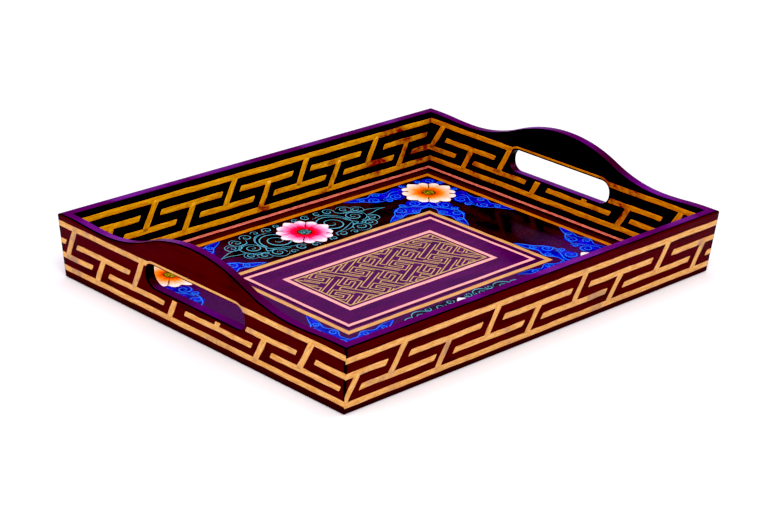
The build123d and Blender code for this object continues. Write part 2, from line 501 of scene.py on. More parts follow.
# Petals by length, widest half width, power of the tip's taper and lift: broad ones lie on the narrow ones.
NARROW_PETAL = (26.3, 6.6, 0.5, 0.26)
BROAD_PETAL = (FLOWER_REACH, 8.2, 0.72, 0.34)
# How far each narrow petal turns from its pair's diagonal.
PETAL_PAIR = 0.235
# Slits by where they start and end along the diagonal, and half width.
LONG_SLIT = (10.5, 26.0, 0.5)
SHORT_SLIT = (19.0, 24.5, 0.95)
SLIT_LIFT = 0.42
# The disc's radius, the height of its rim, its rise to the middle, its foot, sunk in the petals, and
# its middle.
DISC = 6.9
DISC_LIFT = 0.30
DISC_RISE = 0.35
DISC_FOOT = -0.1
DISC_TOP = 0.66
DISC_RINGS = np.array([1.0, 0.97, 0.88, 0.7, 0.45, 0.2])
DISC_SIDES = 48
# The flowers' middles, in the corner and on the side where x and y are positive.
CORNER_FLOWER = (157.0, 109.3)
SIDE_FLOWER = (-2.0, 109.3)


def petal(middle, angle, shape):
    """One petal: at the share a of its length its half width is a**0.75 * (1 - a)**tip, scaled to widest,
    and it is crowned as a stroke is. Its first brush coordinate is the share of the flower's reach."""
    reach, widest, tip, lift = shape
    reach += hand.uniform(-0.5, 0.5)
    a = np.linspace(0, 1, 22)
    profile = a**0.75 * (1 - a) ** tip
    half = widest * profile / profile.max()
    inner = DISC * 0.6
    path_run = inner + (reach - inner) * a
    sway = waver(path_run, 0.25, 25)
    over = ACROSS[None, :] * half[:, None]
    ripple = 1 + 0.05 * np.sin(path_run * 0.9 + hand.uniform(0, 6))[:, None]
    local = np.stack([np.broadcast_to(path_run[:, None], over.shape), over * ripple + sway[:, None]], axis=-1)
    c, s = cos(angle), sin(angle)
    flat = local @ np.array([[c, s], [-s, c]]) + np.asarray(middle)
    return flat, lift * np.broadcast_to(CROWN, over.shape), brush_marks(path_run / FLOWER_REACH)


def flower_petals(middle):
    """Eight narrow petals in pairs on the diagonals, then four broad pointed ones on the axes."""
    petals = []
    for quarter in range(4):
        diagonal = pi / 4 + quarter * pi / 2
        for side in (-1, 1):
            petals.append(petal(middle, diagonal + side * PETAL_PAIR, NARROW_PETAL))
    for quarter in range(4):
        petals.append(petal(middle, quarter * pi / 2, BROAD_PETAL))
    return petals


def flower_slits(middle):
    """Dark cuts between the paired petals: long ones on one diagonal, short drops on the other."""
    slits = []
    for quarter in range(4):
        angle = pi / 4 + quarter * pi / 2
        start, end, half = LONG_SLIT if quarter % 2 == 0 else SHORT_SLIT
        along = np.linspace(start, end, 14)
        side = waver(along, 0.5, 9)
        c, s = cos(angle), sin(angle)
        path = np.stack([along * c - side * s, along * s + side * c], axis=1)
        share = np.linspace(0, 1, 14)
        slits.append(stroke(path + np.asarray(middle), half * np.sin(pi * share**0.7) + 0.12, SLIT_LIFT))
    return slits


def disc_piece(name, middles, material):
    """Low domes: rings of points whose height falls off as a quarter ellipse, closed by a fan of faces
    at the top and one underneath. The brush coordinates are the share of the radius and the angle."""
    verts, faces, brushes, first = [], [], [], 0
    turns = np.linspace(0, 2 * pi, DISC_SIDES, endpoint=False)
    heights = DISC_LIFT + DISC_RISE * np.sqrt(1 - DISC_RINGS**2)
    heights[0] = DISC_FOOT
    for middle in middles:
        bumpy = 1 + 0.02 * np.sin(9 * turns + hand.uniform(0, 6))
        x = middle[0] + DISC * DISC_RINGS[:, None] * np.cos(turns) * bumpy
        y = middle[1] + DISC * DISC_RINGS[:, None] * np.sin(turns) * bumpy
        z = np.broadcast_to(heights[:, None], x.shape)
        points = on_floor(x, y, z).reshape(-1, 3)
        ends = on_floor(*np.array(middle)[:, None] + np.zeros(2), np.array([DISC_TOP, DISC_FOOT]))
        verts.append(np.concatenate([points, ends]))
        share = np.concatenate([np.broadcast_to(DISC_RINGS[:, None], x.shape).reshape(-1), [0, 1]])
        around = np.concatenate([np.broadcast_to(turns, x.shape).reshape(-1), [0, 0]])
        brushes.append(np.stack([share, around, np.full(len(share), hand.uniform(0, 100))], axis=1))
        index = first + np.arange(x.size).reshape(x.shape)
        beside = np.roll(index, -1, axis=1)
        top, under = np.full_like(index[:2], first + x.size) + [[0], [1]]
        faces += np.stack([index[:-1], beside[:-1], beside[1:], index[1:]], axis=-1).reshape(-1, 4).tolist()
        faces += np.stack([index[-1], beside[-1], top], axis=-1).tolist()
        faces += np.stack([beside[0], index[0], under], axis=-1).tolist()
        first += len(share)
    return mesh_piece(name, np.concatenate(verts), faces, np.concatenate(brushes), material)


# ---------------------------------------------------------------- clouds

CLOUD_FILM = 0.05
CURL_FILM = 0.15

# Curls of one arm of a corner cloud: distance away from the flower, distance to its side, radius.
ARM_CURLS = [(31.5, 11.5, 6.6), (43.5, 8.8, 3.4), (54.5, 17.0, 5.8), (44.0, 26.0, 4.0), (64.5, 25.0, 3.4)]
ARM_BODY = [(14, 25), (26, 20), (38, 19), (50, 22), (60, 25), (70, 27.5), (82, 31)]
ARM_WIDTHS = [5.4, 6.6, 7.0, 5.6, 3.9, 2.2, 0.3]
# Outlines of one arm, each with its half width and how many rows of points it has.
ARM_EDGE = [(40, 12), (50, 10.5), (61, 15.5), (66, 21), (73, 25), (82, 31)]
ARM_BORDER = [(22, 28), (34, 24.5), (45, 30.5), (56, 26), (66, 30), (80, 31.2)]
ARM_ROOT = [(20, 20), (27, 22), (33, 19.5), (40, 15), (48, 13)]
ARM_OUTLINES = [(ARM_EDGE, 0.85, 34), (ARM_BORDER, 0.75, 34), (ARM_ROOT, 0.8, 24)]
# How much larger than a curl's radius its round patch of ground is, and its turns and half width.
ARM_PATCH = 1.2
ARM_CURL = (1.5, 1.05)
NOOK_PATCH = 1.25
NOOK_CURL = (1.4, 0.95)
NOOK_CURL_SHARE = 0.85
# Curls between a corner flower and the corner of the field: out along X, out along Y, radius.
NOOK_CURLS = [(22.5, 22.5, 5.4), (27.5, 12.0, 3.6), (12.0, 27.5, 3.6), (27.0, -8.0, 3.4), (-8.0, 27.5, 3.4)]

# Curls of half of a side cloud: away from the flower, up, radius and turns.
SIDE_CURLS = [
    (33.0, 0.5, 17.0, 2.1),
    (62.0, 1.0, 9.2, 1.9),
    (50.0, 23.2, 6.2, 1.5),
    (65.0, 18.5, 4.6, 1.3),
    (75.0, 11.0, 4.4, 1.2),
    (23.0, 24.6, 5.2, 1.4),
    (37.5, 25.6, 4.0, 1.2),
    (10.5, 26.6, 3.4, 1.2),
    (49.0, -20.5, 7.4, 1.6),
    (74.0, -11.5, 4.4, 1.3),
    (63.5, -18.5, 4.6, 1.3),
    (25.0, -23.5, 5.8, 1.5),
    (11.5, -26.8, 4.0, 1.3),
    (37.0, -27.0, 3.6, 1.2),
]
# The half width of half a side cloud, at distances away from the flower.
SIDE_REACH = [4, 45, 58, 68, 78, 88, 101]
SIDE_WIDTHS = [31.5, 31.5, 27, 20, 9, 3.5, 0.2]
# Echoes follow only the curls that lie this far or less from the line through the flowers.
ECHO_REACH = 29.0
ECHO_GAP = 2.5
# Flowing lines of half of a side cloud: each is a few points away from the flower and up.
SIDE_FLOWS = [
    [(74, 4), (82, 5.5), (90, 3), (100, -1.5)],
    [(73, -5), (82, -3.5), (91, -1.0), (100, -1.5)],
    [(78, 7), (71, 6), (66, 11), (58, 13), (54, 19)],
    [(53, 5), (51, -4), (55, -12), (47, -13)],
    [(30, 19), (40, 20), (47, 15), (52, 8)],
    [(20, -19), (31, -17.5), (42, -13), (50, -9)],
    [(71, -7), (68, -13), (60, -13), (56, -16)],
]


def blob(x, y, radius, lift, count=26):
    """A round patch of paint: a stroke along its middle whose half width is a circle's."""
    t = np.cos(np.linspace(pi, 0, count))
    half = radius * np.sqrt(np.clip(1 - t**2, 0, 1)) * (1 + waver(t * radius, 0.04, radius)) + 0.05
    return stroke(np.stack([x + radius * t, np.full(count, y)], axis=1), half, lift)


def curl(x, y, radius, turns, start, way, half):
    """A curl's stroke, thinner towards its middle, with its bright edge on the outside."""
    path = spiral(x, y, radius, turns, start, way)
    share = np.linspace(0, 1, len(path))
    width = half * (1 - 0.55 * share) * np.sin(pi * np.clip(0.12 + share * 0.85, 0, 1)) ** 0.35
    flat, lift, brush = stroke(path, width, CURL_FILM)
    if way > 0:
        brush[..., 1] = -brush[..., 1]
    return flat, lift, brush


def echo(x, y, radius, start, end):
    """A thin arc that follows the outside of a curl, tapered at both ends."""
    angle = np.linspace(start, end, max(10, int(radius * 2.2)))
    path = np.stack([x + radius * np.cos(angle), y + radius * np.sin(angle)], axis=1)
    taper = np.sin(pi * np.linspace(0.04, 0.96, len(angle))) ** 0.5
    return stroke(path, 0.62 * taper, CURL_FILM)


def corner_cloud(corner):
    """The blue cloud round one corner flower: two arms each way, mirrored about the flower. An arm's
    half width runs through ARM_WIDTHS, with scallops that are the size of a sine."""
    sign = np.array(corner, float)
    middle = np.array(CORNER_FLOWER)
    body, lines = [], []

    def keep(target, made, axes, mirrored):
        flat, lift, brush = made
        flat = sign * (middle + flat @ axes)
        made = flat, lift, brush
        target.append((on_floor, turned_over(made) if mirrored else made))

    for along_y in (False, True):
        for side in (-1, 1):
            # Rows of axes: where one step away from the flower and one step to its side lead.
            axes = np.array([(0, -1), (side, 0)] if along_y else [(-1, 0), (0, side)], float)
            mirrored = np.linalg.det(axes) * sign.prod() < 0
            share = np.linspace(0, 1, 40)
            widths = np.interp(share, np.linspace(0, 1, len(ARM_WIDTHS)), ARM_WIDTHS)
            scallops = 0.84 + 0.34 * np.abs(np.sin(6.5 * pi * share))
            keep(body, stroke(smooth(ARM_BODY, 40), widths * scallops, CLOUD_FILM), axes, mirrored)
            for x, y, radius in ARM_CURLS:
                keep(body, blob(x, y, radius * ARM_PATCH, CLOUD_FILM), axes, mirrored)
                start = hand.uniform(0, 2 * pi)
                keep(lines, curl(x, y, radius, ARM_CURL[0], start, side, ARM_CURL[1]), axes, mirrored)
            for points, half, count in ARM_OUTLINES:
                taper = np.sin(pi * np.linspace(0.06, 1, count)) ** 0.5 + 0.1
                keep(lines, stroke(smooth(points, count), half * taper, CURL_FILM), axes, mirrored)
    straight, mirrored = np.eye(2), sign.prod() < 0
    for x, y, radius in NOOK_CURLS:
        keep(body, blob(x, y, radius * NOOK_PATCH, CLOUD_FILM), straight, mirrored)
        start = hand.uniform(0, 2 * pi)
        made = curl(x, y, radius * NOOK_CURL_SHARE, NOOK_CURL[0], start, 1, NOOK_CURL[1])
        keep(lines, made, straight, mirrored)
    return body, lines


def side_cloud(sign_y):
    """The dark cloud with pale outlines on both sides of a long side's flower: a scalloped ground that
    narrows away from the flower, curls with echoes round them, and flowing lines."""
    middle = np.array([SIDE_FLOWER[0], SIDE_FLOWER[1] * sign_y])
    body, lines = [], []
    for side in (-1, 1):
        axes = np.array([side, sign_y], float)
        mirrored = side * sign_y < 0

        def keep(target, made):
            flat, lift, brush = made
            made = middle + flat * axes, lift, brush
            target.append((on_floor, turned_over(made) if mirrored else made))

        run = np.linspace(SIDE_REACH[0], SIDE_REACH[-1], 70)
        half = np.interp(run, SIDE_REACH, SIDE_WIDTHS) * (1 - 0.07 * np.abs(np.cos(run * 0.33)))
        keep(body, stroke(np.stack([run, -0.015 * run], axis=1), half, CLOUD_FILM))
        for x, y, radius, turns in SIDE_CURLS:
            x, y = x + hand.uniform(-0.7, 0.7), y + hand.uniform(-0.5, 0.5)
            way = 1 if y > 0 else -1
            start = hand.uniform(-0.6, 0.6) + (0 if way > 0 else pi)
            keep(lines, curl(x, y, radius, turns, start, way, 0.72 + 0.03 * radius))
            outward = np.arctan2(y, x - 30)
            if abs(y) + radius < ECHO_REACH:
                keep(lines, echo(x, y, radius + ECHO_GAP, outward + way * 1.9, outward - way * 1.7))
        for flow in SIDE_FLOWS:
            taper = np.sin(pi * np.linspace(0.05, 0.97, 30)) ** 0.45
            keep(lines, stroke(smooth(flow, 30), 0.78 * taper, CURL_FILM))
    return body, lines


# ---------------------------------------------------------------- materials


def colour(code):
    """A linear colour from its usual six figures."""
    parts = [int(code[i : i + 2], 16) / 255 for i in (0, 2, 4)]
    return tuple(p / 12.92 if p <= 0.04045 else ((p + 0.055) / 1.055) ** 2.4 for p in parts) + (1.0,)


def colours(*codes):
    """Several colours from their six figures."""
    return [colour(code) for code in codes]


class Tree:
    """A material's nodes, with short ways to add and join them."""

    def __init__(self, name):
        self.material = bpy.data.materials.new(name)
        self.material.use_nodes = True
        self.nodes = self.material.node_tree.nodes
        self.links = self.material.node_tree.links
        self.bsdf = self.nodes["Principled BSDF"]

    def add(self, kind, inputs=None, **settings):
        """A new node whose inputs are joined to sockets or set to values."""
        node = self.nodes.new(kind)
        for name, value in settings.items():
            setattr(node, name, value)
        for name, value in (inputs or {}).items():
            if isinstance(value, bpy.types.NodeSocket):
                self.links.new(value, node.inputs[name])
            else:
                node.inputs[name].default_value = value
        return node

    def maths(self, operation, a, b=0.0):
        return self.add("ShaderNodeMath", {0: a, 1: b}, operation=operation).outputs[0]

    def step(self, value, low, high):
        """Rises smoothly from 0 to 1 between two values."""
        inputs = {"Value": value, "From Min": low, "From Max": high}
        return self.add("ShaderNodeMapRange", inputs, interpolation_type="SMOOTHSTEP").outputs[0]

    def mix(self, share, a, b):
        """Colour a where share is 0 and colour b where it is 1."""
        node = self.add("ShaderNodeMix", {"Factor": share}, data_type="RGBA")
        for socket, value in ((node.inputs[6], a), (node.inputs[7], b)):
            if isinstance(value, bpy.types.NodeSocket):
                self.links.new(value, socket)
            else:
                socket.default_value = value
        return node.outputs[2]

    def noise(self, vector, scale, detail=3.0, roughness=0.55):
        """Soft noise from 0 to 1."""
        inputs = {"Vector": vector, "Scale": scale, "Detail": detail, "Roughness": roughness}
        return self.add("ShaderNodeTexNoise", inputs).outputs["Fac"]

    def scaled(self, vector, scale):
        """A place stretched along its axes."""
        return self.add("ShaderNodeMapping", {"Vector": vector, "Scale": scale}).outputs[0]

    def place(self):
        """Where a point lies on the tray, in metres."""
        return self.add("ShaderNodeTexCoord").outputs["Object"]

    def brush(self):
        """The brush coordinates: along the stroke, across it from -1 to 1, and its number."""
        settings = dict(attribute_name="brush", attribute_type="GEOMETRY")
        return self.add("ShaderNodeAttribute", **settings).outputs["Vector"]

    def along_strokes(self, along, across, number, stretch, spread):
        """A place for noise that is drawn out along each stroke and differs from stroke to stroke."""
        inputs = {0: self.maths("MULTIPLY", along, stretch), 1: self.maths("MULTIPLY", across, spread)}
        return self.add("ShaderNodeCombineXYZ", {**inputs, 2: number}).outputs[0]

    def parts(self, vector):
        """The three coordinates of a vector."""
        return self.add("ShaderNodeSeparateXYZ", {0: vector}).outputs

    def lacquer(self, base, rough, wave_height=0.02, wave_scale=60.0, coat=0.2, sheen_level=0.12):
        """A clear gloss coat over paint: the coat waves slightly, as brushed lacquer does."""
        place = self.place()
        patches = self.noise(place, 45.0, 4.0)
        span = {"Value": patches, "To Min": rough * 0.75, "To Max": rough * 1.35}
        self.links.new(base, self.bsdf.inputs["Base Color"])
        self.links.new(self.add("ShaderNodeMapRange", span).outputs[0], self.bsdf.inputs["Roughness"])
        waves = self.noise(place, wave_scale, 2.0)
        bump = self.add("ShaderNodeBump", {"Height": waves, "Strength": wave_height, "Distance": 0.001})
        self.links.new(bump.outputs[0], self.bsdf.inputs["Coat Normal"])
        self.links.new(bump.outputs[0], self.bsdf.inputs["Normal"])
        self.bsdf.inputs["Specular IOR Level"].default_value = sheen_level
        self.bsdf.inputs["Coat Weight"].default_value = coat
        self.bsdf.inputs["Coat Roughness"].default_value = 0.06
        return self.material


OXBLOOD = colour("480005")
OXBLOOD_DEEP = colour("2c0003")
BLACK = colour("020001")
# The rim colours: purple, a painted reflection of the sky, violet for its painted highlights, and maroon for
# painted shade.
RIM_REFLECTION_PURPLE = colour("50034e")
RIM_HIGHLIGHT_VIOLET = colour("6a2080")
RIM_SHADE_MAROON = colour("3e0426")
FLOOR_PURPLE = colour("54024e")
FLOOR_PLUM = colour("3e0242")
FIELD = colour("100008")
FIELD_RED = colour("2c0008")

# Where one paint gives way to the next, in millimetres. Into a board from its outer face: the black line
# on the rounded edge, which is painted shade, the purple, which is a painted reflection of the sky, and
# the black of the inner face. Then up from the foot to the end of its dark strip, and in from a corner to
# the end of the black line down it.
EDGE_SHADE_LINE = (0.35, 0.6)
EDGE_REFLECTION = (1.7, 2.1)
INSIDE = (9.1, 9.4)
FOOT_STRIP = (8.5, 1.5)
CORNER_LINE = (2.2, 1.0)


def board_material(name, axis, reach, far_reach):
    """Paint on a wall: oxblood outside, a black line of painted shade, purple over the edges and black
    inside, chosen by how deep in the board's thickness a point lies. The edges' purple, with violet patches
    of painted highlight, is a painted reflection of the sky, so only edges that face up are purple; those
    that fall towards the front are maroon and those that don't face up are black, both painted shade."""
    t = Tree(name)
    place = t.place()
    x, y, z = t.parts(place)
    height = t.maths("MULTIPLY", z, 1 / MM)
    across = t.maths("MULTIPLY", t.maths("ABSOLUTE", (x, y)[axis]), 1 / MM)
    lean = t.maths("MULTIPLY", t.maths("SUBTRACT", RIM, height), tan(FLARE))
    depth = t.maths("SUBTRACT", t.maths("SUBTRACT", reach, lean), across)
    uneven = t.maths("MULTIPLY", t.maths("SUBTRACT", t.noise(place, 120.0, 2.0), 0.5), 0.5)
    depth = t.maths("ADD", depth, uneven)
    streaks = t.noise(t.scaled(place, (25, 25, 160)), 1.0, 4.0)
    outside = t.mix(t.step(streaks, 0.2, 0.6), OXBLOOD_DEEP, OXBLOOD)
    along = t.maths("MULTIPLY", t.maths("ABSOLUTE", (y, x)[axis]), 1 / MM)
    to_corner = t.maths("SUBTRACT", t.maths("SUBTRACT", far_reach, lean), along)
    outside = t.mix(t.step(to_corner, *CORNER_LINE), outside, BLACK)
    # The black line along the rounded outer edge is painted shade.
    paint = t.mix(t.step(depth, *EDGE_SHADE_LINE), outside, BLACK)

    # The purple over the edges is a painted reflection of the sky, and its violet patches are painted
    # highlights.
    highlight_patches = t.noise(place, 14.0, 3.0)
    edge = t.mix(t.step(highlight_patches, 0.42, 0.68), RIM_REFLECTION_PURPLE, RIM_HIGHLIGHT_VIOLET)
    facing = t.parts(t.add("ShaderNodeNewGeometry").outputs["Normal"])
    # Edges that fall towards the front turn maroon and those that don't face up turn black: painted shade.
    edge = t.mix(t.step(facing[1], -0.12, -0.4), edge, RIM_SHADE_MAROON)
    edge = t.mix(t.step(facing[2], 0.1, 0.6), BLACK, edge)
    paint = t.mix(t.step(depth, *EDGE_REFLECTION), paint, edge)

    inside = t.step(depth, *INSIDE)
    paint = t.mix(inside, paint, BLACK)
    paint = t.mix(t.step(height, *FOOT_STRIP), paint, t.mix(inside, OXBLOOD_DEEP, BLACK))
    return t.lacquer(paint, 0.35, coat=0.07, sheen_level=0.05)


# In metres, where the field between the clouds turns to plum, at the left and at the front: a painted
# reflection of the sky where the back and right walls don't hide it.
SKY_REFLECTION_LEFT = (-0.055, -0.115)
SKY_REFLECTION_FRONT = (-0.02, -0.07)


def panel_material():
    """The floor: a maroon border, a nearly black field with a painted reflection of the sky in plum at the
    left and front, a purple middle, and a plain dark underside."""
    t = Tree("floor_lacquer")
    place = t.place()
    x, y, z = t.parts(place)
    far_x = t.maths("MULTIPLY", t.maths("ABSOLUTE", x), 1 / MM)
    far_y = t.maths("MULTIPLY", t.maths("ABSOLUTE", y), 1 / MM)

    def outside(half_x, half_y):
        """Rises from 0 to 1 under the gold frame of this size, out of sight."""
        past_x = t.maths("SUBTRACT", far_x, half_x - 2)
        past_y = t.maths("SUBTRACT", far_y, half_y - 2)
        return t.step(t.maths("MAXIMUM", past_x, past_y), -0.5, 0.5)

    streaks = t.noise(t.scaled(place, (18, 90, 1)), 1.0, 5.0)
    clouds = t.noise(place, 22.0, 5.0)
    middle = t.mix(t.step(streaks, 0.3, 0.72), FLOOR_PLUM, FLOOR_PURPLE)
    # The plum at the left and front is a painted reflection of the sky.
    near = t.maths("MAXIMUM", t.step(x, *SKY_REFLECTION_LEFT), t.step(y, *SKY_REFLECTION_FRONT))
    field = t.mix(t.step(clouds, 0.45, 0.7), FIELD, FIELD_RED)
    field = t.mix(near, field, FLOOR_PLUM)
    border = t.mix(t.step(streaks, 0.3, 0.7), FIELD_RED, OXBLOOD_DEEP)
    paint = t.mix(outside(*INNER_GOLD[:2]), middle, field)
    paint = t.mix(outside(*OUTER_GOLD[:2]), paint, border)
    under = t.step(z, (FLOOR - 0.5) * MM, (FLOOR - 1.0) * MM)
    paint = t.mix(under, paint, OXBLOOD_DEEP)
    return t.lacquer(paint, 0.25, 0.03, 40.0, 0.18)


def gold_material(name, bright, deep, worn, wear, right_darkening=0.0):
    """Gold paint with streaks along each stroke, thin at the edges, and patches worn to the ground. More
    of it is worn the lower wear is, and right_darkening makes it darker towards the right, with more of
    the worn colour there."""
    t = Tree(name)
    bright, deep, worn = colours(bright, deep, worn)
    place = t.place()
    along, across, number = t.parts(t.brush())
    streaks = t.noise(t.along_strokes(along, across, number, 0.11, 3.2), 1.0, 5.0, 0.62)
    fine = t.noise(t.scaled(place, (900, 900, 900)), 1.0, 2.0)
    paint = t.mix(t.step(streaks, 0.34, 0.66), deep, bright)
    patches = t.noise(place, 30.0, 5.0, 0.65)
    mixed = t.maths("ADD", t.maths("MULTIPLY", patches, 0.7), t.maths("MULTIPLY", streaks, 0.3))
    # Darker towards the right.
    far = t.step(t.parts(place)[0], 0.08, 0.19)
    mixed = t.maths("ADD", mixed, t.maths("MULTIPLY", far, right_darkening))
    pale = tuple(0.6 * c + 0.4 for c in bright)
    flecks = t.maths("MULTIPLY", t.step(streaks, 0.58, 0.74), t.step(fine, 0.4, 0.62))
    paint = t.mix(t.maths("MULTIPLY", flecks, 0.7), paint, pale)
    paint = t.mix(t.step(mixed, wear, wear + 0.10), paint, worn)
    paint = t.mix(t.maths("MULTIPLY", t.step(fine, 0.5, 0.72), 0.35), paint, deep)
    rim = t.step(t.maths("ABSOLUTE", across), 0.8, 1.0)
    paint = t.mix(t.maths("MULTIPLY", rim, 0.6), paint, worn)
    return t.lacquer(paint, 0.3, 0.05, 300.0)


def line_material(name, bright, deep):
    """Even line paint, a little thinner along its edges."""
    t = Tree(name)
    bright, deep = colours(bright, deep)
    along, across, number = t.parts(t.brush())
    streaks = t.noise(t.along_strokes(along, across, number, 0.16, 2.0), 1.0, 4.0)
    paint = t.mix(t.step(streaks, 0.4, 0.7), bright, deep)
    paint = t.mix(t.maths("MULTIPLY", t.step(t.maths("ABSOLUTE", across), 0.6, 1.0), 0.5), paint, deep)
    return t.lacquer(paint, 0.3, 0.04, 250.0)


def petal_material(name, heart, middle, pale, tip):
    """Petals shaded from their heart to pale tips, with fine streaks along them."""
    t = Tree(name)
    heart, middle, pale, tip = colours(heart, middle, pale, tip)
    reach, across, number = t.parts(t.brush())
    fibres = t.noise(t.along_strokes(reach, across, number, 2.5, 5.0), 1.0, 4.0)
    streaks = t.maths("SUBTRACT", fibres, 0.5)
    place = t.maths("ADD", reach, t.maths("MULTIPLY", streaks, 0.42))
    paint = t.mix(t.step(place, 0.26, 0.47), heart, middle)
    paint = t.mix(t.step(place, 0.44, 0.66), paint, pale)
    paint = t.mix(t.step(place, 0.62, 0.90), paint, tip)
    side = t.maths("MULTIPLY", t.step(t.maths("ABSOLUTE", across), 0.72, 1.0), 0.42)
    paint = t.mix(side, paint, middle)
    return t.lacquer(paint, 0.32, 0.05, 260.0)


def disc_material(name, ground, dots, rim):
    """A flower's disc: a speckled ground inside a dark rim."""
    t = Tree(name)
    ground, dots, rim = colours(ground, dots, rim)
    place = t.place()
    share = t.parts(t.brush())[0]
    cells = t.add("ShaderNodeTexVoronoi", {"Vector": place, "Scale": 560.0}).outputs["Distance"]
    paint = t.mix(t.step(cells, 0.36, 0.52), ground, dots)
    blotch = t.noise(place, 500.0, 3.0)
    paint = t.mix(t.maths("MULTIPLY", t.step(blotch, 0.5, 0.7), 0.6), paint, dots)
    paint = t.mix(t.step(share, 0.76, 0.90), paint, rim)
    return t.lacquer(paint, 0.35, 0.05, 400.0)


def cloud_body_material(name, light, dark):
    """A cloud's ground paint: soft patches of two near colours."""
    t = Tree(name)
    light, dark = colours(light, dark)
    patches = t.noise(t.place(), 130.0, 3.0)
    return t.lacquer(t.mix(t.step(patches, 0.35, 0.65), dark, light), 0.3, 0.04, 250.0)


def cloud_line_material(name, bright, middle, ground):
    """Outlines that are bright on one edge and wash away into the ground on the other."""
    t = Tree(name)
    bright, middle, ground = colours(bright, middle, ground)
    brush = t.brush()
    flicker = t.maths("MULTIPLY", t.maths("SUBTRACT", t.noise(brush, 0.7, 3.0), 0.5), 0.8)
    place = t.maths("ADD", t.parts(brush)[1], flicker)
    paint = t.mix(t.step(place, -0.9, -0.4), ground, middle)
    paint = t.mix(t.step(place, -0.35, 0.15), paint, bright)
    return t.lacquer(paint, 0.3, 0.04, 250.0)


def steel_material():
    """Drawn steel wire with fine marks along its length."""
    t = Tree("pin_steel")
    marks = t.noise(t.scaled(t.place(), (3000, 3000, 300)), 1.0, 3.0)
    paint = t.mix(marks, colour("6a6864"), colour("a5a29c"))
    t.links.new(paint, t.bsdf.inputs["Base Color"])
    t.bsdf.inputs["Metallic"].default_value = 1.0
    rough = t.add("ShaderNodeMapRange", {"Value": marks, "To Min": 0.25, "To Max": 0.5}).outputs[0]
    t.links.new(rough, t.bsdf.inputs["Roughness"])
    return t.material


# ---------------------------------------------------------------- making the tray


def dress_frame():
    """Gives the boards, the panel and the pins their finishes."""
    long_paint = board_material("long_side_lacquer", 1, REACH_Y, REACH_X)
    end_paint = board_material("handle_end_lacquer", 0, REACH_X, REACH_Y)
    floor_paint = panel_material()
    steel = steel_material()
    for name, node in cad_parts.items():
        if name.endswith("long_side"):
            paint = long_paint
        elif name.endswith("handle_end"):
            paint = end_paint
        elif name == "base_panel":
            paint = floor_paint
        else:
            paint = steel
        for slot in node.material_slots:
            slot.material = paint


def paint_frets():
    """A fret on both faces of every wall."""
    # The outer faces' gold is made paler and greyer than the inner faces', a painted reflection of the pale
    # floor on top of the gold paint.
    outer_gold_with_reflection = gold_material("outer_gold_reflection_paint", "f4bc6c", "cc8838", "a47c60", 0.53)
    inner_gold = gold_material("inner_gold_paint", "fabc2c", "cc8010", "8a2804", 0.555, 0.09)
    end_gold = gold_material("handle_end_gold_paint", "ec9c14", "bc6806", "842402", 0.54)
    for turns, wall in enumerate(("front", "right", "back", "left")):
        run, inside_gold = ("long", inner_gold) if turns % 2 == 0 else ("end", end_gold)
        for face, gold in (("outer", outer_gold_with_reflection), ("inner", inside_gold)):
            place, half_run = wall_face(turns, face == "inner")
            strokes = [(place, made) for made in turned_strokes(fret(f"{face}_{run}", half_run))]
            strokes_piece(f"{wall}_{face}_fret", strokes, gold)


def paint_floor():
    """The frames round the floor and the lattice in its middle panel."""
    gold = gold_material("floor_gold_paint", "d88414", "b0600c", "7a3008", 0.60)
    pale_gold = gold_material("floor_tan_paint", "e4b070", "c88c48", "9a6a40", 0.62)
    pink = line_material("pink_paint", "ffb4ac", "f09a94")
    salmon = line_material("salmon_paint", "ea8672", "a8463a")
    dark = line_material("dark_line_paint", "1a020c", "10020a")
    lattice = gold_material("lattice_gold_paint", "e0b878", "b88e58", "9a7048", 0.66)
    frames = {
        "salmon_border_line": ((INNER_X - 0.15, INNER_Y - 0.15, SALMON_WIDTH), salmon, "pink_paint"),
        "outer_gold_line": (OUTER_GOLD, gold, "gold_paint"),
        "inner_gold_line": (INNER_GOLD, pale_gold, "gold_paint"),
        "dark_panel_line": (DARK_LINE, dark, "cloud_paint"),
        "outer_pink_line": (OUTER_PINK, pink, "pink_paint"),
        "inner_pink_line": (INNER_PINK, pink, "pink_paint"),
        "lattice_edge_line": (THIN_GOLD, lattice, "gold_paint"),
    }
    for name, (size, paint, slot) in frames.items():
        strokes_piece(name, [(on_floor, painted_frame(*size))], paint, ring=True)
    strokes_piece("lattice_lines", lattice_strokes(), lattice)


def paint_clouds():
    """Blue clouds in the four corners of the field and dark ones in the middle of its long sides."""
    blue = cloud_body_material("blue_cloud_paint", "0620d8", "020c90")
    blue_edge = cloud_line_material("blue_outline_paint", "2a80fc", "0630d8", "01087c")
    dark = cloud_body_material("dark_cloud_paint", "010306", "160206")
    teal_edge = cloud_line_material("teal_outline_paint", "5cb8d0", "124458", "010408")
    for name, clouds, ground, outline in (
        ("corner_cloud", [corner_cloud(c) for c in ((1, 1), (-1, 1), (-1, -1), (1, -1))], blue, blue_edge),
        ("side_cloud", [side_cloud(sign_y) for sign_y in (1, -1)], dark, teal_edge),
    ):
        body, lines = (sum(parts, []) for parts in zip(*clouds))
        strokes_piece(f"{name}_grounds", body, ground)
        strokes_piece(f"{name}_outlines", lines, outline)


